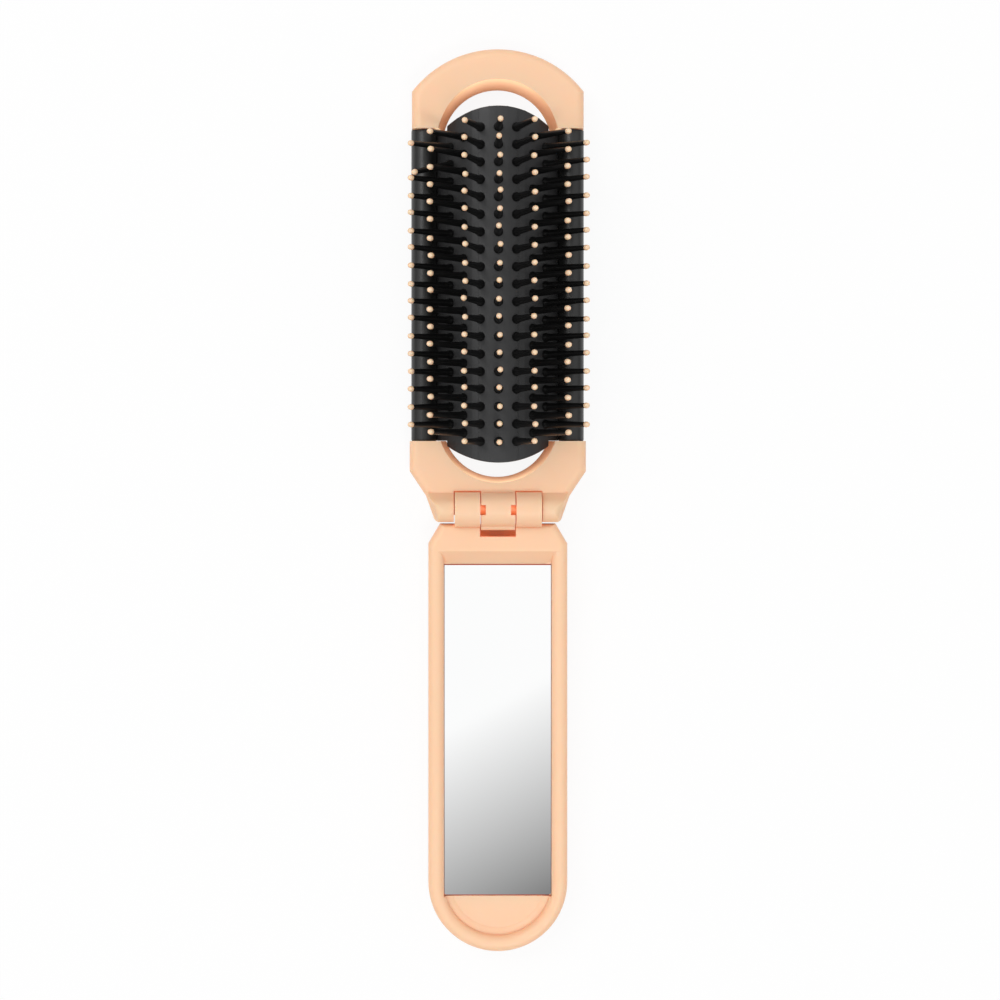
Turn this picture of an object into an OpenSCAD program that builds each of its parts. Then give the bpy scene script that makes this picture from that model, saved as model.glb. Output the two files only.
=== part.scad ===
/* [Overall] */
// overall length of the open brush
total_len = 181; // [160:1:210]
// thickness of the head frame and of the handle
body_t = 8; // [7:0.5:12]

/* [Head] */
// half width of the head's top arch
arch_hw = 17.25; // [15:0.1:22]
// radius of the arch's outer edge
arch_r = 21.7; // [20:0.1:26]
// half width of the yoke at the hinge end
yoke_hw = 17.7; // [16:0.1:22]
// radius of the round cut-outs at both ends of the pad
cut_r = 11; // [9:0.1:12]
// how much wider the cut-outs are at the front than at the back
cut_draft = 1.05; // [0:0.05:1.5]
// height of the yoke's shoulders above the hinge axis
shoulder_rise = 7.65; // [6:0.05:9]
// distance from the hinge axis to the middle of the window
window_rise = 45; // [42:0.1:50]
// radius of the rounded front edges
edge_front_r = 1.8; // [1:0.1:2.5]
// radius of the rounded back edges
edge_back_r = 2.4; // [1:0.1:3]

/* [Side rolls] */
// distance of each side bar from the middle
bar_x = 14.8; // [13:0.1:18]
// height of the side bars above the back
bar_z = 4; // [3.5:0.1:6]
// radius of the side bars
bar_r = 1.5; // [1:0.1:1.8]
// outer radius of the rolls
roll_r = 2.6; // [2.3:0.1:3]
// length of the window between arch and yoke
window_len = 62.6; // [50:0.1:75]

/* [Pad] */
// height of the middle strip's face above the back
pad_z = 12; // [11:0.1:14]
// thickness of the pad
pad_t = 1.4; // [1:0.1:2]
// half width of the middle strip
strip_w0 = 1.82; // [1.5:0.01:2.2]
// width of the first side strip
strip_w1 = 3.6; // [3:0.01:4]
// width of the second side strip
strip_w2 = 4; // [3.4:0.01:4.4]
// width of the third side strip
strip_w3 = 2.6; // [2.2:0.01:3]
// slope of the first side strip
strip_a1 = 17.8; // [10:0.1:22]
// slope of the second side strip
strip_a2 = 38; // [30:0.1:42]
// slope of the third side strip
strip_a3 = 46.5; // [42:0.1:52]
// half length of the pad on its middle line
pad_half = 35.4; // [30:0.1:40]
// radius of the pad's round ends
pad_end_r = 17.5; // [15:0.1:19]

/* [Pins] */
// spacing of the pins along a column
pin_pitch = 3.465; // [3:0.005:3.8]
// rows in the middle columns
pin_rows = 19; // [15:1:19]
// length of a pin up to its ball
pin_len = 10.3; // [8:0.05:11]
// radius of a pin at its foot
pin_foot_r = 0.74; // [0.6:0.01:0.8]
// radius of a pin at its end
pin_end_r = 0.5; // [0.4:0.01:0.52]
// radius of the round tips
ball_r = 0.57; // [0.54:0.01:0.65]
// radius of the collar at each pin's foot
collar_r = 0.92; // [0.85:0.01:0.98]

/* [Handle] */
// half width of the handle
grip_hw = 13.95; // [12:0.05:16]
// width of the rounded rim around the mirror
rim_w = 3.15; // [2.8:0.05:4]
// depth of the recess inside the rim
recess_d = 2.4; // [1.8:0.1:3]
// length of the mirror
mirror_len = 66.6; // [50:0.1:70]
// thickness of the mirror
mirror_t = 1.8; // [1:0.1:2]

/* [Hinge] */
// height of the hinge axis above the front faces
axis_rise = 0.45; // [0.3:0.05:0.8]
// radius of the handle's knuckles
knuckle_r = 3.5; // [3:0.1:3.6]
// radius of the ear barrels
ear_r = 2.5; // [2.2:0.1:2.7]
// radius of the hinge pin
hinge_pin_r = 1.1; // [0.8:0.05:1.2]

/* [Hidden] */
$fn = 64;
reach = 100;
nose_r = 0.8;
tongue_t = 4.95;
waist_hw = 2.5;
waist_len = 2;
bar_root = 2;
land_len = 5.4;
land_slope = 2.65;
corner_drop = 3.9;
pocket_floor = 1.5;
half_len = total_len / 2;
arch_cy = half_len - arch_r;
axis_y = -1.85;
axis_z = body_t + axis_rise;
win_cy = axis_y + window_rise;
win_y0 = win_cy - window_len / 2;
win_y1 = win_cy + window_len / 2;
pad_cy = win_cy - 0.2;
cut_top_y = win_y1 - 2.2;
cut_low_y = win_y0 + 3.7;
roll_gap = 0.1;
slit_w = 2.2;
fit_gap = 0.05;
seam = 0.03;
grip_cy = -half_len + grip_hw;
grip_top = axis_y - 2.98;
ear_end = axis_y - ear_r;
tongue_hw = 3.4;
tongue_reach = 4.14;
tongue_gap = 1.32;
tongue_end = axis_y - tongue_reach;
knuckle_x0 = 3.6;
knuckle_x1 = 8.65;
ear_x0 = 8.85;
ear_x1 = 12.7;
ear_inset = 0.6;
ear_corner_r = 1.1;
ramp_a = 35;
slot_r = knuckle_r + 0.22;
pocket_end = tongue_end - tongue_gap;
rim_r = rim_w / 2;
floor_z = body_t - recess_d;
mirror_hw = grip_hw - rim_w - 0.05;
mirror_y1 = grip_top - land_len - land_slope - fit_gap;
mirror_y0 = mirror_y1 - mirror_len;
tape_t = 0.4;
pocket_z = floor_z - mirror_t - tape_t;
collar_h = 0.35;
tip_len = 0.6;

// hinge lines of the strips, on the pad's face
line1 = [strip_w0, pad_z];
line2 = line1 + strip_w1 * [cos(strip_a1), -sin(strip_a1)];
line3 = line2 + strip_w2 * [cos(strip_a2), -sin(strip_a2)];
line4 = line3 + strip_w3 * [cos(strip_a3), -sin(strip_a3)];

// ---- helpers ----

// extrudes a profile drawn in x and z along +Y from y0 to y1
module along_y(y0, y1) {
    translate([0, y1, 0]) rotate([90, 0, 0]) linear_extrude(height = y1 - y0) children();
}

// extrudes a profile drawn in y and z along +X from x0 to x1
module along_x(x0, x1) {
    translate([x0, 0, 0]) rotate([90, 0, 90]) linear_extrude(height = x1 - x0) children();
}

// a round rod along X
module rod_x(r, x0, x1, y, z) {
    translate([x0, y, z]) rotate([0, 90, 0]) cylinder(r = r, h = x1 - x0);
}

// a round rod along Y
module rod_y(r, y0, y1, x, z) {
    translate([x, y1, z]) rotate([90, 0, 0]) cylinder(r = r, h = y1 - y0);
}

// plate edge seen end on: reaches w to the left of x = 0, rounded at its outer corners
module edge_profile(w, h, front, back) {
    big = max(front, back);
    translate([-w, 0]) square([w - big, h]);
    translate([-big, back]) square([big, h - front - back]);
    translate([-big - 0.01, 0]) square([big - back + 0.01, back]);
    translate([-big - 0.01, h - front]) square([big - front + 0.01, front]);
    translate([-front, h - front]) circle(r = front);
    translate([-back, back]) circle(r = back);
}

// plate bounded by one straight edge through p, facing the direction a
module half_plate(p, a, front, back, h = body_t) {
    translate([p[0], p[1], 0]) rotate([0, 0, a]) along_y(-reach, reach) edge_profile(reach, h, front, back);
}

// plate between two parallel edges at x = -hw and x = hw
module strip_plate(hw, y0, y1, front, back) {
    along_y(y0, y1) intersection() {
        translate([hw, 0]) edge_profile(2 * hw + body_t, body_t, front, back);
        translate([-hw, 0]) mirror([1, 0]) edge_profile(2 * hw + body_t, body_t, front, back);
    }
}

// ---- head ----

module arch_body() {
    intersection() {
        translate([0, arch_cy, 0]) rotate_extrude()
            intersection() {
                translate([arch_r, 0]) edge_profile(arch_r + body_t, body_t, edge_front_r, edge_back_r);
                square([arch_r + 1, body_t]);
            }
        strip_plate(arch_hw, win_y1, half_len + body_t, edge_front_r, edge_back_r);
    }
}

// two straight cuts on each side narrow the yoke towards the hinge, the lower one less steep
slope_p = [yoke_hw, axis_y + shoulder_rise];
slope_a = -33.5;
neck_p = [yoke_hw - 3.275, axis_y + 2.71];
neck_a = -19.5;

module yoke_side() union() {
    half_plate(slope_p, slope_a, edge_front_r, edge_back_r);
    half_plate(neck_p, neck_a, edge_front_r, edge_back_r);
}

module yoke_body() {
    intersection() {
        yoke_side();
        mirror([1, 0, 0]) yoke_side();
        strip_plate(yoke_hw, ear_end, win_y0, edge_front_r, edge_back_r);
    }
}

// the ear seen end on: a barrel with a ramp up to it from the yoke's face
module ear_profile() {
    ramp_top = [axis_y + ear_r * cos(ramp_a), axis_z + ear_r * sin(ramp_a)];
    ramp_foot = [ramp_top[0] + (ramp_top[1] - body_t) * tan(ramp_a), body_t];
    translate([axis_y, axis_z]) circle(r = ear_r);
    polygon([ramp_top, [axis_y, axis_z], [axis_y, body_t - 2], [ramp_foot[0], body_t - 2], ramp_foot]);
}
module ear() intersection() {
    along_x(ear_x0, yoke_hw) ear_profile();
    half_plate([neck_p[0] - ear_inset, neck_p[1]], neck_a, edge_front_r, edge_back_r, axis_z + ear_r);
}

// what rounds the yoke's lower corner in plan
module corner_waste() {
    n = [cos(neck_a), sin(neck_a)];
    cy = ear_end + ear_corner_r;
    cx = neck_p[0] - (ear_corner_r + n[1] * (cy - neck_p[1])) / n[0];
    translate([cx, cy, -1]) linear_extrude(height = 2 * body_t) difference() {
        polygon([[0, 0], 3 * ear_corner_r * n, [3 * ear_corner_r, -3 * ear_corner_r], [0, -3 * ear_corner_r]]);
        circle(r = ear_corner_r);
    }
}

module cutout(cy, dir) {
    translate([0, cy, -body_t]) cylinder(r1 = cut_r - cut_draft, r2 = cut_r + 2 * cut_draft, h = 3 * body_t);
    // the front edge is cut back, more at the sides than at the end
    translate([0, cy - dir * 1.1, body_t - 1.6]) cylinder(r1 = cut_r - 0.1, r2 = cut_r + 1.5, h = 1.6 + 0.01);
}

module knuckle_slot() {
    rod_x(slot_r, tongue_hw, ear_x0, axis_y, axis_z);
    translate([tongue_hw, ear_end - 1, -1]) cube([ear_x0 - tongue_hw, axis_y - ear_end + 1, body_t + 2]);
}

module tongue() {
    rod_x(knuckle_r - 0.1, -tongue_hw, tongue_hw, axis_y, axis_z);
    along_x(-tongue_hw, tongue_hw) {
        translate([tongue_end + nose_r, axis_z - tongue_t]) square([axis_y - tongue_end, tongue_t + nose_r / 4]);
        translate([tongue_end, axis_z - tongue_t + nose_r]) square([nose_r, tongue_t - 7 / 4 * nose_r]);
        translate([tongue_end + nose_r, axis_z - tongue_t + nose_r]) circle(r = nose_r);
        translate([tongue_end + nose_r, axis_z - 3 / 4 * nose_r]) circle(r = nose_r);
    }
}

module head_frame() color([0.97, 0.80, 0.65]) {
    difference() {
        union() {
            difference() {
                union() {
                    arch_body();
                    yoke_body();
                }
                cutout(cut_top_y, 1);
                cutout(cut_low_y, -1);
                knuckle_slot();
                mirror([1, 0, 0]) knuckle_slot();
                translate([-tongue_hw - 0.01, ear_end - 1, -1])
                    cube([2 * tongue_hw + 0.02, axis_y - ear_end + 1, 2 * body_t]);
            }
            for (s = [-1, 1]) rod_y(bar_r, win_y0 - bar_root, win_y1 + bar_root, s * bar_x, bar_z);
            ear();
            mirror([1, 0, 0]) ear();
            tongue();
        }
        rod_x(hinge_pin_r + fit_gap, -ear_x1 - 1, ear_x1 + 1, axis_y, axis_z);
        corner_waste();
        mirror([1, 0, 0]) corner_waste();
        // windows beside the tongue's waist
        for (s = [0, 1]) mirror([s, 0, 0]) translate([waist_hw, axis_y - waist_len / 2, axis_z - 1.5 * hinge_pin_r])
            cube([knuckle_x0 + 1 - waist_hw, waist_len, 2 * knuckle_r]);
    }
}

// ---- side rolls ----

module side_roll(s) color([0.08, 0.08, 0.09]) difference() {
    rod_y(roll_r, win_y0 + roll_gap, win_y1 - roll_gap, s * bar_x, bar_z);
    rod_y(bar_r + fit_gap, win_y0 - 1, win_y1 + 1, s * bar_x, bar_z);
    // the slit that lets the roll snap over its bar
    translate([s * bar_x - slit_w / 2, win_y0 - 1, bar_z - 2 * roll_r]) cube([slit_w, 1.1 * window_len, 2 * roll_r]);
}
module side_roll_left() side_roll(-1);
module side_roll_right() side_roll(1);

// ---- pad ----

// moves a strip from its own frame to the pad's right side
module on_line(p, a) {
    translate([p[0], pad_cy, p[1]]) rotate([0, a, 0]) children();
}

// strip of the pad seen end on, its face from x0 to x1, sides sloped so that neighbours meet
module strip_section(x0, x1, slope0, slope1, rise) {
    polygon([
        [x0 + seam, rise], [x1 - seam, rise], [x1 - seam, 0],
        [x1 - seam - pad_t * tan(slope1), -pad_t], [x0 + seam + pad_t * tan(slope0), -pad_t], [x0 + seam, 0]]);
}

// the whole strip, its face crowned so that it turns by the angle turn to each side
module strip_bar(x0, x1, slope0, slope1, half, turn) {
    crown_r = (x1 - x0) / 2 / sin(turn);
    along_y(-half, half) intersection() {
        strip_section(x0, x1, slope0, slope1, 1);
        translate([(x0 + x1) / 2, -crown_r * cos(turn)]) circle(r = crown_r);
    }
}

// plan outline of the pad with its round ends
module pad_outline() {
    translate([0, pad_cy, 0]) linear_extrude(height = 2 * pad_z) {
        square([4 * pad_end_r, 2 * (pad_half - pad_end_r)], center = true);
        translate([0, pad_half - pad_end_r]) circle(r = pad_end_r);
        translate([0, pad_end_r - pad_half]) circle(r = pad_end_r);
    }
}

module collars(x, rows) {
    for (i = [0:rows - 1]) translate([x, (i - (rows - 1) / 2) * pin_pitch, -0.5]) cylinder(r = collar_r, h = 0.5 + collar_h, $fn = 32);
}

bend1 = strip_a1 / 2 + 0.5;
bend2 = (strip_a2 - strip_a1) / 2 + 0.5;
bend3 = (strip_a3 - strip_a2) / 2 + 0.5;
end_half = window_len / 2 - 0.4;
strip_end = end_half + 2.1;
tab_top = win_y1 - pad_cy - 0.2;

module strip_centre() {
    intersection() {
        translate([0, pad_cy, pad_z]) strip_bar(-strip_w0, strip_w0, bend1, bend1, pad_half, strip_a1 / 2);
        pad_outline();
    }
    translate([0, pad_cy, pad_z]) collars(0, pin_rows);
}
module strip_1() {
    intersection() {
        on_line(line1, strip_a1) strip_bar(0, strip_w1, bend1, bend2, pad_half, strip_a2 / 4);
        pad_outline();
    }
    on_line(line1, strip_a1) collars(strip_w1 / 2, pin_rows);
}
// its lower corner is cut off, which clears the frame's cut-out as the strip passes flat
module strip_2() {
    intersection() {
        on_line(line2, strip_a2) intersection() {
            strip_bar(0, strip_w2, bend2, bend3, pad_half, (strip_a3 - strip_a1) / 4);
            translate([0, 0, -2 * pad_t]) linear_extrude(height = 4 * pad_t) polygon([
                [0, -strip_end] - strip_w2 / 4 * [1, 3.9], [strip_w2, -strip_end] + strip_w2 / 8 * [1, 0.78],
                [1.125 * strip_w2, 1.1 * pad_half], [-strip_w2 / 4, 1.1 * pad_half]]);
        }
        pad_outline();
    }
    on_line(line2, strip_a2) collars(strip_w2 / 2, pin_rows - 1);
}
// the outer strip's corners are cut off where the frame's legs come close as it turns
module strip_3() on_line(line3, strip_a3) {
    intersection() {
        along_y(-pad_half, pad_half) strip_section(0, strip_w3, bend3, 2, 0.01);
        translate([0, 0, -pad_t - 1]) linear_extrude(height = pad_t + 2) polygon([
            [-1, -strip_end], [0, -strip_end], [0.45, -end_half - 1.1], [0.85, -end_half], [4, -end_half],
            [4, tab_top], [1.25, tab_top], [0.9, tab_top + 1.1], [0, tab_top + 1.8], [-1, tab_top + 1.8]]);
    }
    collars(strip_w3 * 0.62, pin_rows - 2);
}
module web() {
    difference() {
        on_line(line4, strip_a3) along_y(-end_half, end_half) strip_section(0, 3.4, 2, 0, 0.01);
        rod_y(roll_r, win_y0 - 1, win_y1 + 1, bar_x, bar_z);
    }
}

module pad_color() color([0.16, 0.16, 0.17]) children();
module pad_strip_centre() pad_color() strip_centre();
module pad_strip_right_1() pad_color() strip_1();
module pad_strip_right_2() pad_color() strip_2();
module pad_strip_right_3() pad_color() strip_3();
module pad_strip_left_1() pad_color() mirror([1, 0, 0]) strip_1();
module pad_strip_left_2() pad_color() mirror([1, 0, 0]) strip_2();
module pad_strip_left_3() pad_color() mirror([1, 0, 0]) strip_3();
module pad_web_right() pad_color() web();
module pad_web_left() pad_color() mirror([1, 0, 0]) web();

// ---- pins and tips ----

module pin_column(x, rows) {
    for (i = [0:rows - 1]) translate([x, (i - (rows - 1) / 2) * pin_pitch, collar_h])
        cylinder(r1 = pin_foot_r, r2 = pin_end_r, h = pin_len - collar_h, $fn = 32);
}
module tip_column(x, rows) {
    for (i = [0:rows - 1]) translate([x, (i - (rows - 1) / 2) * pin_pitch, pin_len]) {
        cylinder(r = ball_r, h = tip_len, $fn = 32);
        translate([0, 0, tip_len]) sphere(r = ball_r, $fn = 32);
    }
}
module pin_color() color([0.05, 0.05, 0.05]) children();
module tip_color() color([0.94, 0.74, 0.58]) children();
module pins_centre() pin_color() translate([0, pad_cy, pad_z]) pin_column(0, pin_rows);
module pins_right_1() pin_color() on_line(line1, strip_a1) pin_column(strip_w1 / 2, pin_rows);
module pins_right_2() pin_color() on_line(line2, strip_a2) pin_column(strip_w2 / 2, pin_rows - 1);
module pins_right_3() pin_color() on_line(line3, strip_a3) pin_column(strip_w3 * 0.62, pin_rows - 2);
module pins_left_1() mirror([1, 0, 0]) pins_right_1();
module pins_left_2() mirror([1, 0, 0]) pins_right_2();
module pins_left_3() mirror([1, 0, 0]) pins_right_3();
module tips_centre() tip_color() translate([0, pad_cy, pad_z]) tip_column(0, pin_rows);
module tips_right_1() tip_color() on_line(line1, strip_a1) tip_column(strip_w1 / 2, pin_rows);
module tips_right_2() tip_color() on_line(line2, strip_a2) tip_column(strip_w2 / 2, pin_rows - 1);
module tips_right_3() tip_color() on_line(line3, strip_a3) tip_column(strip_w3 * 0.62, pin_rows - 2);
module tips_left_1() mirror([1, 0, 0]) tips_right_1();
module tips_left_2() mirror([1, 0, 0]) tips_right_2();
module tips_left_3() mirror([1, 0, 0]) tips_right_3();

// ---- handle ----

// half of the handle seen end on: floor, rounded rim, rounded back edge
module grip_profile() {
    back = edge_back_r + 0.6;
    square([grip_hw - back, floor_z]);
    translate([grip_hw - back, back]) circle(r = back);
    translate([grip_hw - back - 0.01, 0]) square([0.01, floor_z]);
    translate([grip_hw - back, back]) square([back, floor_z - back]);
    translate([grip_hw - rim_w, back]) square([rim_w, body_t - rim_r - back]);
    translate([grip_hw - rim_r, body_t - rim_r]) circle(r = rim_r);
}

// corner cuts and end of the handle beside the hinge
corner_p = [grip_hw, grip_top - corner_drop];
corner_a = 30.5;

module grip_body() {
    translate([0, grip_cy, 0]) rotate([0, 0, 180]) rotate_extrude(angle = 180) grip_profile();
    intersection() {
        union() {
            along_y(grip_cy, grip_top) {
                grip_profile();
                mirror([1, 0]) grip_profile();
            }
            // land between the recess and the hinge
            along_x(-grip_hw + rim_r, grip_hw - rim_r)
                polygon([[grip_top, floor_z - 1], [grip_top, body_t], [grip_top - land_len, body_t],
                    [grip_top - land_len - land_slope, floor_z], [grip_top - land_len - land_slope, floor_z - 1]]);
        }
        half_plate(corner_p, corner_a, rim_r, edge_back_r);
        mirror([1, 0, 0]) half_plate(corner_p, corner_a, rim_r, edge_back_r);
        half_plate([0, grip_top], 90, 0.9, edge_back_r);
    }
}

module knuckle() {
    rod_x(knuckle_r, knuckle_x0, knuckle_x1, axis_y, axis_z);
    along_x(knuckle_x0, knuckle_x1)
        polygon([[axis_y, axis_z - knuckle_r], [axis_y, axis_z], [grip_top - 1.2, body_t - 0.2], [grip_top - 1.2, axis_z - knuckle_r]]);
}

module handle_shell() color([0.97, 0.80, 0.65]) difference() {
    union() {
        grip_body();
        knuckle();
        mirror([1, 0, 0]) knuckle();
    }
    rod_x(hinge_pin_r, -knuckle_x1 - 1, knuckle_x1 + 1, axis_y, axis_z);
    // pocket for the tongue
    translate([-knuckle_x0, pocket_end, pocket_floor]) cube([2 * knuckle_x0, axis_y - pocket_end, 2 * body_t]);
    // seat of the mirror
    translate([-mirror_hw - 0.05, mirror_y0 - 0.05, pocket_z]) cube([2 * mirror_hw + 0.1, mirror_len + 0.1, body_t]);
}

module mirror_tape() color([0.3, 0.3, 0.32])
    translate([-mirror_hw + 0.6, mirror_y0 + 0.6, pocket_z]) cube([2 * mirror_hw - 1.2, mirror_len - 1.2, tape_t]);

module mirror_glass() color([0.85, 0.88, 0.9])
    translate([-mirror_hw, mirror_y0, pocket_z + tape_t]) cube([2 * mirror_hw, mirror_len, mirror_t]);

module hinge_pin() color([0.95, 0.72, 0.55])
    rod_x(hinge_pin_r, -ear_x1 + 0.1, ear_x1 - 0.1, axis_y, axis_z);

head_frame();
side_roll_left();
side_roll_right();
pad_web_left();
pad_web_right();
pad_strip_centre();
pad_strip_left_1();
pad_strip_left_2();
pad_strip_left_3();
pad_strip_right_1();
pad_strip_right_2();
pad_strip_right_3();
pins_centre();
pins_left_1();
pins_left_2();
pins_left_3();
pins_right_1();
pins_right_2();
pins_right_3();
tips_centre();
tips_left_1();
tips_left_2();
tips_left_3();
tips_right_1();
tips_right_2();
tips_right_3();
handle_shell();
mirror_tape();
mirror_glass();
hinge_pin();
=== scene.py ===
import math
import bpy
from mathutils import Matrix, Vector


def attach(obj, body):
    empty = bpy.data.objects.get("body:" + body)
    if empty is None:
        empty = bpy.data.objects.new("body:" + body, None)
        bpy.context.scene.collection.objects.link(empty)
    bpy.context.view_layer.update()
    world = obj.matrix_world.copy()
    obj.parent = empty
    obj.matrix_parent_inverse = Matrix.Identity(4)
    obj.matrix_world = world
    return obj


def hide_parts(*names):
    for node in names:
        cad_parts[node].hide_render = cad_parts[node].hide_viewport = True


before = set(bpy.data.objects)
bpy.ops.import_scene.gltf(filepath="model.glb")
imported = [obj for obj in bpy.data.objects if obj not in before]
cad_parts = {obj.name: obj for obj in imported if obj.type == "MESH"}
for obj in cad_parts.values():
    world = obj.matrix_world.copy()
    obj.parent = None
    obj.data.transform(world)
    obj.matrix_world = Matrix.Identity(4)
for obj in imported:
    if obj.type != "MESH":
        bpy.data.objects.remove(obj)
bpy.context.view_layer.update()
bpy.context.scene.view_settings.view_transform = "Standard"

MM = 0.001


# ---------------------------------------------------------------- sizes, in millimetres and degrees

# the pad's own, as in the part's source
PAD_MIDDLE = 42.95
PAD_FACE = 12.0
CENTRE_HALF = 1.82
STRIPS = ((3.6, 17.8), (4.0, 38.0), (2.6, 46.5))      # width and slope of each side strip
CROWNS = (8.9, 9.5, 7.2, 0)                           # how far each face turns to its edges
PAD_HALF = 35.4
PAD_END_R = 17.5
PAD_THICK = 1.4
PIN_PITCH = 3.465
PIN_LENGTH = 10.3
PIN_ROWS = (19, 19, 18, 17)

# how the visible pad is cut
BLOCK_ABOVE = 0.5                                     # how far each strip's block stands above its face
BLOCK_LONGER = 1                                      # how much longer than the pad the block is
OUTER_TURN = 4                                        # how far the pad would turn on past its outer strips
CROWN_FLATS = (-0.8, -0.4, 0, 0.4, 0.8)               # where a crown's flats touch it, as shares of its turn
END_STEP = 2                                          # the turn from one flat of a round end to the next
END_ROUNDING = 0.25                                   # on the edge between a strip's face and its ends

# columns of pins
ACROSS = (0, STRIPS[0][0] / 2, STRIPS[1][0] / 2, STRIPS[2][0] * 0.62)      # where each stands on its strip
PIN_LEAN = 0.9                                        # the most that chance leans a pin about each axis
BENT_PIN = (-1, 3, PIN_ROWS[3] - 2)                   # its side, strip and row
BENT_LEAN = (13, 4)                                   # about x and about y

# what the rolls and webs take of their gaps to the head, at the lower and the upper end
END_GAPS = (0.14, 0.3)

# where a glow is painted on the case, standing for light through its plastic: the walls of the head's two round
# cut-outs, and the hinge
CUT_OUTS = (72.25, 15.55)                             # the cut-outs' middles, along the brush
CUT_OUT_REACH = (12.7, 13.2)                          # full effect within the first, none past the second
KNUCKLE_REACH = (8.8, 9.1)                            # the same for the hinge, from the brush's middle line
FLOOR_FADE = (2 / 3, 5 / 3)                           # heights where the hinge's painted glow starts and where it is full
WALL_FRONT = 7.083                                    # the height where the walls' painted glow is full


# ---------------------------------------------------------------- shader building blocks

def rgb(r, g, b):
    """Display colour, 0 to 255 each, as linear light."""
    def lin(v):
        v /= 255
        return v / 12.92 if v <= 0.04045 else ((v + 0.055) / 1.055) ** 2.4
    return (lin(r), lin(g), lin(b), 1)


def new_material(name, ior, metallic=0.0):
    mat = bpy.data.materials.new(name)
    mat.use_nodes = True
    shader = mat.node_tree.nodes["Principled BSDF"]
    shader.inputs["IOR"].default_value = ior
    shader.inputs["Metallic"].default_value = metallic
    return mat, mat.node_tree, shader


def feed(tree, socket, value):
    """Links another socket to this one, or sets it to a plain value."""
    if isinstance(value, bpy.types.NodeSocket):
        tree.links.new(value, socket)
    else:
        socket.default_value = value


def calc(tree, operation, a, b=0.0):
    node = tree.nodes.new("ShaderNodeMath")
    node.operation = operation
    feed(tree, node.inputs[0], a)
    feed(tree, node.inputs[1], b)
    return node.outputs[0]


def magnitude(tree, value):
    return calc(tree, "ABSOLUTE", value)


def blend(tree, low, high, share):
    """Between two colours, low where share is 0."""
    mix = tree.nodes.new("ShaderNodeMix")
    mix.data_type = "RGBA"
    feed(tree, mix.inputs["A"], low)
    feed(tree, mix.inputs["B"], high)
    feed(tree, mix.inputs["Factor"], share)
    return mix.outputs["Result"]


def spread(tree, value, low, high):
    """Maps 0..1 to low..high."""
    ramp = tree.nodes.new("ShaderNodeMapRange")
    ramp.inputs["To Min"].default_value = low
    ramp.inputs["To Max"].default_value = high
    tree.links.new(value, ramp.inputs["Value"])
    return ramp.outputs["Result"]


def levels(tree, value, *stops):
    """Grey level along value, from (place, level) stops."""
    ramp = tree.nodes.new("ShaderNodeValToRGB")
    points = ramp.color_ramp.elements
    points[0].position, points[1].position = stops[0][0], stops[-1][0]
    for place, _ in stops[1:-1]:
        points.new(place)
    for point, (_, level) in zip(points, stops):
        point.color = (level, level, level, 1)
    tree.links.new(value, ramp.inputs[0])
    return ramp.outputs["Color"]


def levels_along(tree, length, span, *stops):
    """As levels, with the places in millimetres along a length of up to span."""
    share = calc(tree, "MULTIPLY", length, 1 / (span * MM))
    return levels(tree, share, *[(place / span, level) for place, level in stops])


def axis_of(tree, kind, axis):
    """One axis of the place (Object), of where the face looks (Normal) or of a ray into the world (Generated)."""
    source = tree.nodes.new("ShaderNodeTexCoord")
    parts = tree.nodes.new("ShaderNodeSeparateXYZ")
    tree.links.new(source.outputs[kind], parts.inputs[0])
    return parts.outputs[axis]


def noise(tree, scale, detail):
    """Noise on Object coordinates, scale in grains per metre."""
    place = tree.nodes.new("ShaderNodeTexCoord")
    grain = tree.nodes.new("ShaderNodeTexNoise")
    grain.inputs["Scale"].default_value = scale
    grain.inputs["Detail"].default_value = detail
    tree.links.new(place.outputs["Object"], grain.inputs["Vector"])
    return grain.outputs["Fac"]


def bump(tree, shader, value, strength, depth):
    node = tree.nodes.new("ShaderNodeBump")
    node.inputs["Strength"].default_value = strength
    node.inputs["Distance"].default_value = depth * MM
    tree.links.new(value, node.inputs["Height"])
    tree.links.new(node.outputs["Normal"], shader.inputs["Normal"])


def hollows(tree, reach, own):
    """0 deep in a gap and 1 in the open. With own, only a gap of the piece itself counts."""
    node = tree.nodes.new("ShaderNodeAmbientOcclusion")
    node.only_local = own
    node.inputs["Distance"].default_value = reach * MM
    node.samples = 8
    return node.outputs["AO"]


def steepness(tree):
    """0 on a face that looks up or down, 1 on an upright wall."""
    return spread(tree, magnitude(tree, axis_of(tree, "Normal", "Z")), 1.0, 0.0)


# ---------------------------------------------------------------- materials

EDGE_SHADE_ORANGE = rgb(238, 158, 108)      # painted shade on the case and the tips where a face turns away
WALL_SHADE_ORANGE = rgb(244, 168, 116)      # painted shade on the cut-outs' walls
WALL_GLOW_COLOUR = rgb(255, 214, 170)        # a glow painted on them, standing for light through the plastic
WALL_GLOW_STRENGTH = 0.75                     # and its strength
# the mirror's own dark cut edge, its orange-brown a painted reflection of the case with painted shade
GLASS_EDGE_SHADE = rgb(206, 118, 88)


def near_hinge(tree):
    """1 between the knuckles' outer sides and off the floor."""
    inner, outer = KNUCKLE_REACH
    low, high = FLOOR_FADE
    between = levels_along(tree, magnitude(tree, axis_of(tree, "Object", "X")), 20, (inner, 1.0), (outer, 0.0))
    off_floor = levels_along(tree, axis_of(tree, "Object", "Z"), 10, (low, 0.0), (high, 1.0))
    return calc(tree, "MULTIPLY", between, off_floor)


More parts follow.
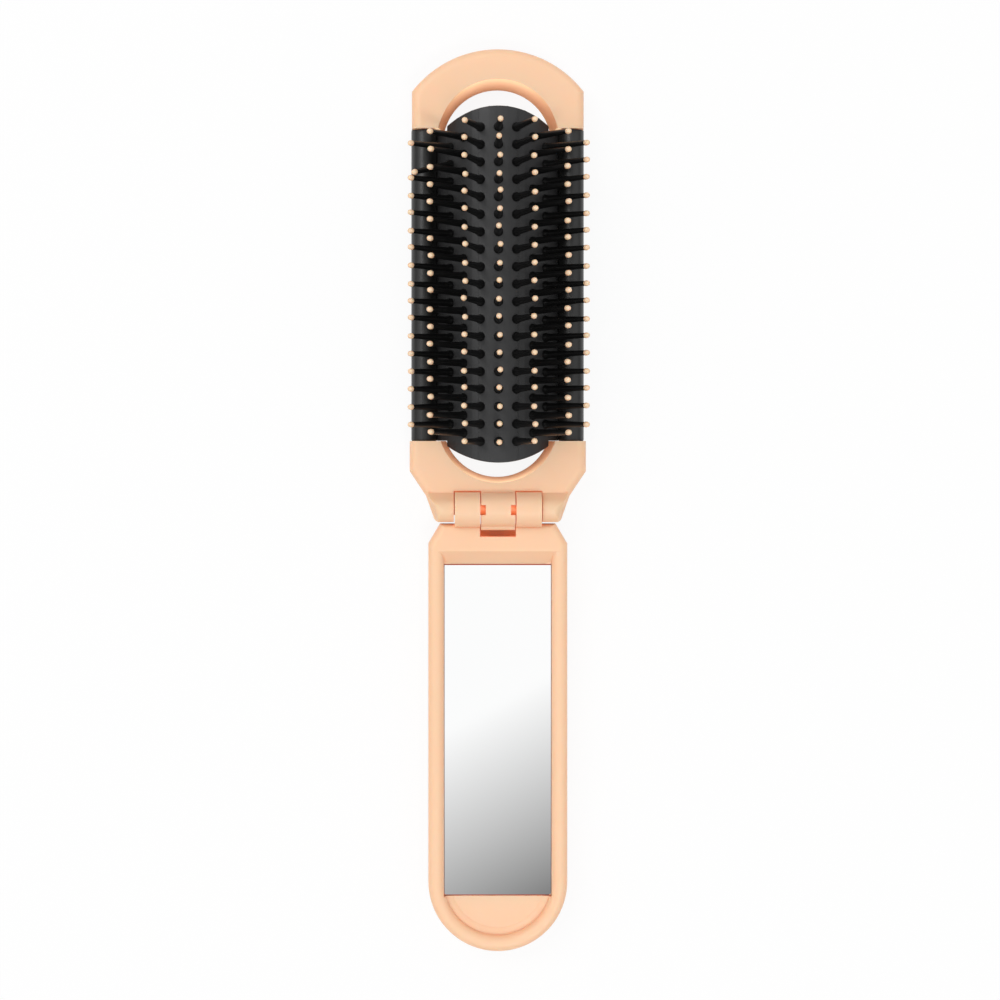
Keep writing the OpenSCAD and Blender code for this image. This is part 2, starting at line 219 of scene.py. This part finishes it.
def cut_out_walls(tree):
    """1 on the walls of the head's cut-outs."""
    across = axis_of(tree, "Object", "X")
    nearest = None
    for middle in CUT_OUTS:
        along = calc(tree, "SUBTRACT", axis_of(tree, "Object", "Y"), middle * MM)
        squares = [calc(tree, "MULTIPLY", way, way) for way in (across, along)]
        away = calc(tree, "SQRT", calc(tree, "ADD", *squares))
        nearest = away if nearest is None else calc(tree, "MINIMUM", nearest, away)
    inner, outer = CUT_OUT_REACH
    inside = levels_along(tree, nearest, 20, (inner, 1.0), (outer, 0.0))
    steep = levels(tree, magnitude(tree, axis_of(tree, "Normal", "Z")), (0.45, 1.0), (0.8, 0.0))
    return calc(tree, "MULTIPLY", inside, steep)


def peach_plastic(name, dark, light, deep, edge, through):
    """Pale moulded plastic, between dark and light. Painted shade turns it to the deep colour in its gaps and, as
    far as edge says, to orange where a face turns away. Through is the strength of a glow painted in its gaps at
    the hinge, standing for light through the plastic; where it is 0, no glow is painted on the cut-outs' walls
    either."""
    mat, tree, shader = new_material(name, ior=1.46)
    shader.inputs["Specular IOR Level"].default_value = 0.3
    shader.inputs["Subsurface Weight"].default_value = 0.3
    shader.inputs["Subsurface Radius"].default_value = (1.0, 0.5, 0.3)
    shader.inputs["Subsurface Scale"].default_value = 4 * MM
    # painted shade: the colour turns deep in the piece's own gaps
    clear_of_gap_shade = levels(tree, hollows(tree, 6, own=True), (0.0, 0.0), (0.2, 0.5), (0.4, 0.9), (0.8, 1.0))
    colour = blend(tree, deep, blend(tree, dark, light, noise(tree, 60, 2)), clear_of_gap_shade)
    # painted shade: the colour turns orange where a face turns away from the front
    edge_shade_share = levels(tree, steepness(tree), (0.03, 0.0), (0.35, 0.55 * edge), (0.85, edge))
    colour = blend(tree, colour, EDGE_SHADE_ORANGE, edge_shade_share)
    rough = spread(tree, noise(tree, 900, 3), 0.30, 0.40)
    if through:
        # painted shade on the cut-outs' walls, deepest at the sides, and a painted glow on them, brightest at the
        # ends and in front
        wall = cut_out_walls(tree)
        endways = magnitude(tree, axis_of(tree, "Normal", "Y"))
        depth = levels(tree, endways, (0.35, 0.65), (0.9, 0.15))
        colour = blend(tree, colour, WALL_SHADE_ORANGE, calc(tree, "MULTIPLY", wall, depth))
        rough = calc(tree, "MAXIMUM", rough, spread(tree, wall, 0.0, 0.9))
        in_front = levels_along(tree, axis_of(tree, "Object", "Z"), 10, (0.0, 0.25), (WALL_FRONT, 1.0))
        at_ends = levels(tree, endways, (0.35, 0.3), (0.9, 1.0))
        wall_glow = calc(tree, "MULTIPLY", calc(tree, "MULTIPLY", wall, in_front), at_ends)
        # a painted glow in the gaps at the hinge
        gap_glow = levels(tree, hollows(tree, 3, own=False),
                           (0.0, 0.1 * through), (0.1, through), (0.25, 0.4 * through), (0.4, 0.0))
        gap_glow = calc(tree, "MULTIPLY", gap_glow, near_hinge(tree))
        painted_glow = calc(tree, "MAXIMUM", gap_glow, spread(tree, wall_glow, 0.0, WALL_GLOW_STRENGTH))
        feed(tree, shader.inputs["Emission Color"], blend(tree, deep, WALL_GLOW_COLOUR, wall_glow))
        feed(tree, shader.inputs["Emission Strength"], painted_glow)
    feed(tree, shader.inputs["Base Color"], colour)
    feed(tree, shader.inputs["Roughness"], rough)
    bump(tree, shader, noise(tree, 350, 2), strength=0.05, depth=0.2)
    return mat


def black_plastic(name, dark, light, rough, grain, bumps, gloss=0.5):
    """Black moulded plastic or rubber, between dark and light, its roughness between the two of rough. Grain is
    the scale of its surface, as in noise, and bumps the strength."""
    mat, tree, shader = new_material(name, ior=1.5)
    shader.inputs["Specular IOR Level"].default_value = gloss
    feed(tree, shader.inputs["Base Color"], blend(tree, dark, light, noise(tree, 120, 2)))
    feed(tree, shader.inputs["Roughness"], spread(tree, noise(tree, 700, 3), *rough))
    bump(tree, shader, noise(tree, grain, 2), strength=bumps, depth=0.1)
    return mat


def mirror_face():
    """Silvered glass with a dark cut edge, its orange-brown a painted reflection of the case with painted shade."""
    mat, tree, shader = new_material("mirror_silver", ior=1.5, metallic=1.0)
    silver = blend(tree, rgb(250, 251, 251), rgb(253, 253, 253), noise(tree, 25, 2))
    # painted shade and reflection on the mirror's cut edge
    at_edge = levels(tree, steepness(tree), (0.02, 0.0), (0.12, 1.0))
    feed(tree, shader.inputs["Base Color"], blend(tree, silver, GLASS_EDGE_SHADE, at_edge))
    feed(tree, shader.inputs["Roughness"], spread(tree, noise(tree, 400, 3), 0.0, 0.02))
    return mat


# deep is painted shade in the case's gaps and the colour of the glow painted at the hinge; edge paints shade where
# a face turns away
CASE = peach_plastic("case_peach", dark=rgb(248, 204, 168), light=rgb(250, 208, 173), deep=rgb(236, 132, 84),
                     edge=0.28, through=0.5)
# on the tips, deep is painted shade in their gaps and edge paints shade on their sides, leaving a pale top
TIP = peach_plastic("tip_peach", dark=rgb(252, 214, 182), light=rgb(254, 219, 188), deep=rgb(238, 160, 110),
                    edge=0.5, through=0.0)
ROLL = black_plastic("roll_black", dark=rgb(20, 20, 20), light=rgb(26, 26, 25),
                     rough=(0.3, 0.38), grain=900, bumps=0.06)
PAD = black_plastic("pad_rubber", dark=rgb(30, 30, 31), light=rgb(37, 37, 38),
                    rough=(0.42, 0.55), grain=1500, bumps=0.15)
PIN = black_plastic("pin_nylon", dark=rgb(8, 8, 8), light=rgb(12, 12, 12),
                    rough=(0.34, 0.42), grain=900, bumps=0.04, gloss=0.35)
SILVER = mirror_face()
FOAM = black_plastic("tape_foam", dark=rgb(60, 60, 60), light=rgb(75, 75, 75),
                     rough=(0.8, 0.95), grain=2500, bumps=0.4)


# ---------------------------------------------------------------- making pieces

def deselect():
    if bpy.context.object and bpy.context.object.mode != "OBJECT":
        bpy.ops.object.mode_set(mode="OBJECT")
    bpy.ops.object.select_all(action="DESELECT")


def take(obj):
    deselect()
    bpy.context.view_layer.objects.active = obj
    obj.select_set(True)


def edit(obj, what="FACE"):
    take(obj)
    bpy.ops.object.mode_set(mode="EDIT")
    bpy.ops.mesh.select_mode(type=what)
    bpy.ops.mesh.select_all(action="DESELECT")


def settle(obj):
    """Puts the piece's place into its mesh."""
    take(obj)
    bpy.ops.object.transform_apply(location=True, rotation=True, scale=True)


def apply_modifiers(obj):
    take(obj)
    for modifier in list(obj.modifiers):
        bpy.ops.object.modifier_apply(modifier=modifier.name)


def hand_in(obj, name, material, body, slot, *nodes):
    """Names the piece, gives it its finish, hangs it on what it rides on and hides the CAD nodes it stands for."""
    obj.name = name
    obj.data.name = name
    obj.data.materials.clear()
    obj.data.materials.append(material)
    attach(obj, body)
    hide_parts(*nodes)


def copy_of(node):
    """A merged copy of a CAD node."""
    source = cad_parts[node]
    obj = bpy.data.objects.new(node + "_copy", source.data.copy())
    bpy.context.scene.collection.objects.link(obj)
    edit(obj, "VERT")
    bpy.ops.mesh.select_all(action="SELECT")
    bpy.ops.mesh.remove_doubles(threshold=0.000002)
    bpy.ops.object.mode_set(mode="OBJECT")
    return obj


def smooth(obj):
    """Smooth shading where the faces turn by up to 35 degrees, with the flats kept flat."""
    take(obj)
    bpy.ops.object.shade_smooth_by_angle(angle=math.radians(35))
    obj.modifiers.new("flats", "WEIGHTED_NORMAL").keep_sharp = True
    apply_modifiers(obj)


def soften(obj, width, angle, segments):
    """Rounds the edges where the piece turns by more than angle, over a width in millimetres."""
    rounding = obj.modifiers.new("rounding", "BEVEL")
    rounding.width = width * MM
    rounding.segments = segments
    rounding.limit_method = "ANGLE"
    rounding.angle_limit = math.radians(angle)
    rounding.use_clamp_overlap = False
    apply_modifiers(obj)
    smooth(obj)


def lengthen(obj, low, high):
    """Moves both end faces of a piece outwards along the brush, in millimetres."""
    for way, by in ((-1, low), (1, high)):
        edit(obj)
        bpy.ops.object.mode_set(mode="OBJECT")
        for face in obj.data.polygons:
            face.select = face.normal.y * way > 0.95
        bpy.ops.object.mode_set(mode="EDIT")
        bpy.ops.transform.translate(value=(0, way * by * MM, 0))
        bpy.ops.object.mode_set(mode="OBJECT")


def lathe(rings, sides):
    """A round piece grown upwards ring by ring; rings are (radius, height) in millimetres."""
    deselect()
    radius, height = rings[0]
    bpy.ops.mesh.primitive_circle_add(
        vertices=sides, radius=radius * MM, fill_type="NGON", location=(0, 0, height * MM))
    obj = bpy.context.object
    bpy.ops.object.transform_apply(location=True)
    bpy.ops.object.mode_set(mode="EDIT")
    bpy.ops.mesh.select_all(action="SELECT")
    for next_radius, next_height in rings[1:]:
        bpy.ops.mesh.extrude_region_move(TRANSFORM_OT_translate={"value": (0, 0, (next_height - height) * MM)})
        growth = next_radius / radius
        bpy.ops.transform.resize(value=(growth, growth, 1), center_override=(0, 0, next_height * MM))
        radius, height = next_radius, next_height
    bpy.ops.mesh.select_all(action="SELECT")
    bpy.ops.mesh.normals_make_consistent(inside=False)
    bpy.ops.object.mode_set(mode="OBJECT")
    bpy.ops.object.shade_smooth_by_angle(angle=math.radians(50))
    return obj


# ---------------------------------------------------------------- rolls and mirror

for side in ("left", "right"):
    roll = copy_of("side_roll_" + side)
    lengthen(roll, *END_GAPS)
    soften(roll, 0.35, angle=50, segments=3)
    hand_in(roll, "roll_" + side + "_sleeve", ROLL, "roll_" + side, "roll_plastic", "side_roll_" + side)

glass = copy_of("mirror_glass")
soften(glass, 0.14, angle=50, segments=1)
hand_in(glass, "mirror_plate", SILVER, "handle", "mirror_silver", "mirror_glass")


# ---------------------------------------------------------------- pad

def pad_strips():
    """Every strip of the pad, as (side, index, tag, body). Side is -1, 0 or 1, and index counts outwards from 0."""
    for side, word in ((-1, "left"), (0, "centre"), (1, "right")):
        for index in ((0,) if side == 0 else (1, 2, 3)):
            tag = "centre" if side == 0 else "%s_%d" % (word, index)
            yield side, index, tag, "pad_middle" if side == 0 else "pad_" + tag


def hinge_lines():
    """Where each side strip's face starts, as (x, z, slope), from the middle outwards."""
    x, z, lines = CENTRE_HALF, PAD_FACE, []
    for width, slope in STRIPS:
        lines.append((x, z, slope))
        x += width * math.cos(math.radians(slope))
        z -= width * math.sin(math.radians(slope))
    return lines


def strip_frame(side, index):
    """Where a strip's own frame lies: x across its face, z out of it."""
    if index == 0:
        return Matrix.Translation((0, PAD_MIDDLE * MM, PAD_FACE * MM))
    x, z, slope = hinge_lines()[index - 1]
    turn = math.radians(slope) * side
    return Matrix.Translation((side * x * MM, PAD_MIDDLE * MM, z * MM)) @ Matrix.Rotation(turn, 4, "Y")


def cut(point, normal):
    """Takes off what lies past the plane and closes the cut."""
    bpy.ops.mesh.select_all(action="SELECT")
    bpy.ops.mesh.bisect(plane_co=point, plane_no=normal, use_fill=True, clear_outer=True, threshold=1e-7)


def cut_sides(here, left, right, slants):
    """Slants both sides of a strip's block, by degrees, to meet its neighbours."""
    for x, way, slant in ((left, -1, slants[0]), (right, 1, slants[1])):
        slant = math.radians(slant)
        out = Vector((way * math.cos(slant), 0, -math.sin(slant)))
        cut(here @ Vector((x * MM, 0, 0)), here.to_3x3() @ out)


def cut_face(here, left, right, crown):
    """Cuts the block down to the strip's face, a crown of narrow flats or one flat."""
    if not crown:
        cut(here.translation, here.to_3x3() @ Vector((0, 0, 1)))
        return
    radius = (right - left) / 2 / math.sin(math.radians(crown))
    middle = Vector(((left + right) / 2, 0, -radius * math.cos(math.radians(crown))))
    for share in CROWN_FLATS:
        lean = math.radians(crown * share)
        out = Vector((math.sin(lean), 0, math.cos(lean)))
        cut(here @ ((middle + radius * out) * MM), here.to_3x3() @ out)


def cut_ends(here, left, right):
    """Cuts the strip's share of the pad's two round ends."""
    xs = [(here @ Vector((x * MM, 0, 0))).x / MM for x in (left, right)]
    first, last = [math.degrees(math.asin(x / PAD_END_R)) for x in (min(xs), max(xs))]
    for end in (-1, 1):
        middle = Vector((0, PAD_MIDDLE + end * (PAD_HALF - PAD_END_R), 0))
        step = int(first // END_STEP) - 1
        while END_STEP * step < last + END_STEP:
            lean = math.radians(END_STEP * step)
            out = Vector((math.sin(lean), end * math.cos(lean), 0))
            cut((middle + PAD_END_R * out) * MM, out)
            step += 1


def round_end_edges(strip, upward):
    """Rounds the edge between the strip's face and its ends."""
    bpy.ops.mesh.select_mode(type="EDGE")
    bpy.ops.object.mode_set(mode="OBJECT")
    beside = {}
    for face in strip.data.polygons:
        for key in face.edge_keys:
            beside.setdefault(key, []).append(face.normal.copy())
    for pick in (strip.data.vertices, strip.data.polygons, strip.data.edges):
        for item in pick:
            item.select = False
    for edge in strip.data.edges:
        normals = beside[edge.key]
        edge.select = any(abs(n.y) > 0.6 for n in normals) and any(n.dot(upward) > 0.9 for n in normals)
    bpy.ops.object.mode_set(mode="EDIT")
    bpy.ops.mesh.bevel(offset=END_ROUNDING * MM, segments=2, affect="EDGES")
    bpy.ops.object.mode_set(mode="OBJECT")


def pad_face(side, index):
    """One strip of the pad, cut from a block: crowned face, slanted sides and its share of the round ends."""
    slopes = [0] + [slope for _, slope in STRIPS] + [STRIPS[-1][1] + OUTER_TURN]
    far = (slopes[index + 1] - slopes[index]) / 2
    near = (slopes[index] - slopes[index - 1]) / 2 if index else far
    if index == 0:
        left, right, slants = -CENTRE_HALF, CENTRE_HALF, (far, far)
    elif side > 0:
        left, right, slants = 0, STRIPS[index - 1][0], (near, far)
    else:
        left, right, slants = -STRIPS[index - 1][0], 0, (far, near)
    here = strip_frame(side, index)
    deselect()
    bpy.ops.mesh.primitive_cube_add(size=1)
    strip = bpy.context.object
    strip.matrix_world = here @ Matrix.LocRotScale(
        Vector(((left + right) / 2, 0, (BLOCK_ABOVE - PAD_THICK) / 2)) * MM, None,
        Vector((right - left, 2 * PAD_HALF + BLOCK_LONGER, BLOCK_ABOVE + PAD_THICK)) * MM)
    settle(strip)
    edit(strip)
    cut_sides(here, left, right, slants)
    cut_face(here, left, right, CROWNS[index])
    cut_ends(here, left, right)
    round_end_edges(strip, here.to_3x3() @ Vector((0, 0, 1)))
    smooth(strip)
    return strip


for side, index, tag, body in pad_strips():
    hand_in(pad_face(side, index), "pad_face_" + tag, PAD, body, "pad_rubber", "pad_strip_" + tag)

for word in ("left", "right"):
    web = copy_of("pad_web_" + word)
    lengthen(web, *END_GAPS)
    soften(web, 0.1, angle=28, segments=2)
    hand_in(web, "pad_edge_" + word, PAD, "roll_" + word, "pad_rubber", "pad_web_" + word)


# ---------------------------------------------------------------- pins and tips

PIN_FORM = lathe(((0.97, -0.2), (0.97, 0.3), (0.86, 0.55), (0.74, 1.1), (0.64, 5.0), (0.5, PIN_LENGTH)), sides=10)
TIP_FORM = lathe(((0.46, 0.0), (0.565, 0.13), (0.57, 0.56), (0.47, 0.92), (0.28, 1.09), (0.1, 1.14)), sides=10)
TIP_FORM.location.z = PIN_LENGTH * MM
settle(TIP_FORM)


def whim(number):
    """A small steady irregularity between -1 and 1."""
    return math.sin(number * 127.1 + 311.7) * 43758.5453 % 2 - 1


def grow_column(form, side, index):
    """Copies the form along a strip's column, each one a little out of true."""
    here = strip_frame(side, index)
    across, rows = ACROSS[index], PIN_ROWS[index]
    sprouts = []
    for row in range(rows):
        one = bpy.data.objects.new("sprout", form.data.copy())
        bpy.context.scene.collection.objects.link(one)
        mark = (side * 4 + index) * 40 + row          # each pin's own number
        lean_x, lean_y = PIN_LEAN * whim(mark), PIN_LEAN * whim(mark + 0.5)
        if index == 3:
            # the outer columns lean a little to the middle, never away
            lean_y = -side * abs(lean_y) * 0.5
        if (side, index, row) == BENT_PIN:
            lean_x, lean_y = BENT_LEAN
        foot = Matrix.Translation(((side or 1) * across * MM, (row - (rows - 1) / 2) * PIN_PITCH * MM, 0))
        lean = Matrix.Rotation(math.radians(lean_x), 4, "X") @ Matrix.Rotation(math.radians(lean_y), 4, "Y")
        one.matrix_world = here @ foot @ lean
        sprouts.append(one)
    deselect()
    for one in sprouts:
        one.select_set(True)
    bpy.context.view_layer.objects.active = sprouts[0]
    bpy.ops.object.join()
    settle(sprouts[0])
    return sprouts[0]


for side, index, tag, body in pad_strips():
    pins = grow_column(PIN_FORM, side, index)
    hand_in(pins, "bristles_" + tag, PIN, body, "pin_plastic", "pins_" + tag)
    tips = grow_column(TIP_FORM, side, index)
    hand_in(tips, "ball_tips_" + tag, TIP, body, "tip_plastic", "tips_" + tag)
for form in (PIN_FORM, TIP_FORM):
    bpy.data.objects.remove(form)


# ---------------------------------------------------------------- nodes that stay

for name, material in (("head_frame", CASE), ("handle_shell", CASE), ("hinge_pin", CASE), ("mirror_tape", FOAM)):
    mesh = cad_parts[name].data
    mesh.materials.clear()
    mesh.materials.append(material)


# ---------------------------------------------------------------- camera

FACE_Z = 8 * MM            # the brush's front faces
VIEW_WIDTH = 0.200         # what the picture spans at that height
STAND_OFF = 0.430          # from there to the camera
STAND = Vector((-0.010, 0.01185, FACE_Z + STAND_OFF))
CENTRE = Vector((0.0004, 0.00005))      # the middle of what is seen
SENSOR = 36                # in millimetres

lens = bpy.data.cameras.new("lens")
lens.sensor_width = SENSOR
lens.lens = SENSOR * STAND_OFF / VIEW_WIDTH
lens.shift_x = (CENTRE.x - STAND.x) / VIEW_WIDTH
lens.shift_y = (CENTRE.y - STAND.y) / VIEW_WIDTH
lens.clip_start = 0.01
lens.clip_end = 20
camera = bpy.data.objects.new("camera", lens)
camera.location = STAND
bpy.context.scene.collection.objects.link(camera)
bpy.context.scene.camera = camera


# ---------------------------------------------------------------- floor and light

WHITE = (1, 1, 1, 1)
PAPER = (0.9, 0.9, 0.9, 1)
PAPER_GLOW = 0.9           # to the camera and in gloss, how much of the floor is plain white
STUDIO_LIGHT = 0.65        # the world's light on the brush
PANEL_SKEW = 0.545         # how far the darker panel's edges are out of square
LOWEST_RAY = 0.05          # rays that climb less than this count as this, and none divides by 0


def seen_rays(tree):
    """1 for the camera, gloss and glass, 0 for light."""
    path = tree.nodes.new("ShaderNodeLightPath")
    direct = calc(tree, "MAXIMUM", path.outputs["Is Camera Ray"], path.outputs["Is Glossy Ray"])
    return calc(tree, "MAXIMUM", direct, path.outputs["Is Transmission Ray"])


deselect()
bpy.ops.mesh.primitive_plane_add(size=6, location=(0, 0, -0.1 * MM))
floor = bpy.context.object
floor.name = "floor"
paper = bpy.data.materials.new("floor_paper")
paper.use_nodes = True
tree = paper.node_tree
matte = tree.nodes["Principled BSDF"]
matte.inputs["Base Color"].default_value = PAPER
matte.inputs["Roughness"].default_value = 0.9
glow = tree.nodes.new("ShaderNodeEmission")
glow.inputs["Strength"].default_value = 1.0
mix = tree.nodes.new("ShaderNodeMixShader")
tree.links.new(spread(tree, seen_rays(tree), 0.0, PAPER_GLOW), mix.inputs[0])
tree.links.new(matte.outputs[0], mix.inputs[1])
tree.links.new(glow.outputs[0], mix.inputs[2])
tree.links.new(mix.outputs[0], tree.nodes["Material Output"].inputs["Surface"])
floor.data.materials.append(paper)

world = bpy.data.worlds.new("studio")
world.use_nodes = True
bpy.context.scene.world = world
tree = world.node_tree
sky = tree.nodes["Background"]
# for gloss: a bright ceiling with a darker panel past the brush's lower end, and dim walls
ray_x, ray_y, ray_z = [axis_of(tree, "Generated", axis) for axis in "XYZ"]
height = calc(tree, "MAXIMUM", ray_z, LOWEST_RAY)
aside = calc(tree, "DIVIDE", magnitude(tree, ray_x), height)
lean = calc(tree, "DIVIDE", calc(tree, "SUBTRACT", calc(tree, "MULTIPLY", ray_x, PANEL_SKEW), ray_y), height)
panel = levels(tree, lean, (0.135, 1.0), (0.24, 0.2), (0.45, 0.2), (0.8, 1.0))
beside = levels(tree, aside, (0.12, 0.0), (0.35, 1.0))
walls = levels(tree, ray_z, (0.12, 0.25), (0.5, 1.0))
ceiling = calc(tree, "MULTIPLY", calc(tree, "MAXIMUM", panel, beside), walls)
is_gloss = tree.nodes.new("ShaderNodeLightPath").outputs["Is Glossy Ray"]
feed(tree, sky.inputs["Color"], blend(tree, WHITE, ceiling, is_gloss))
feed(tree, sky.inputs["Strength"], spread(tree, seen_rays(tree), STUDIO_LIGHT, 1.0))


def soft_box(name, place, width, height, power):
    """A lamp that looks at the origin, in metres and watts."""
    lamp = bpy.data.lights.new(name, "AREA")
    lamp.shape = "RECTANGLE"
    lamp.size = width
    lamp.size_y = height
    lamp.energy = power
    box = bpy.data.objects.new(name, lamp)
    box.location = place
    box.rotation_euler = (-Vector(place)).to_track_quat("-Z", "Y").to_euler()
    bpy.context.scene.collection.objects.link(box)


soft_box("key_light", (0.25, -0.66, 1.5), 0.34, 0.34, power=5.6)
soft_box("fill_light", (-0.7, 0.6, 1.3), 0.6, 0.9, power=7)
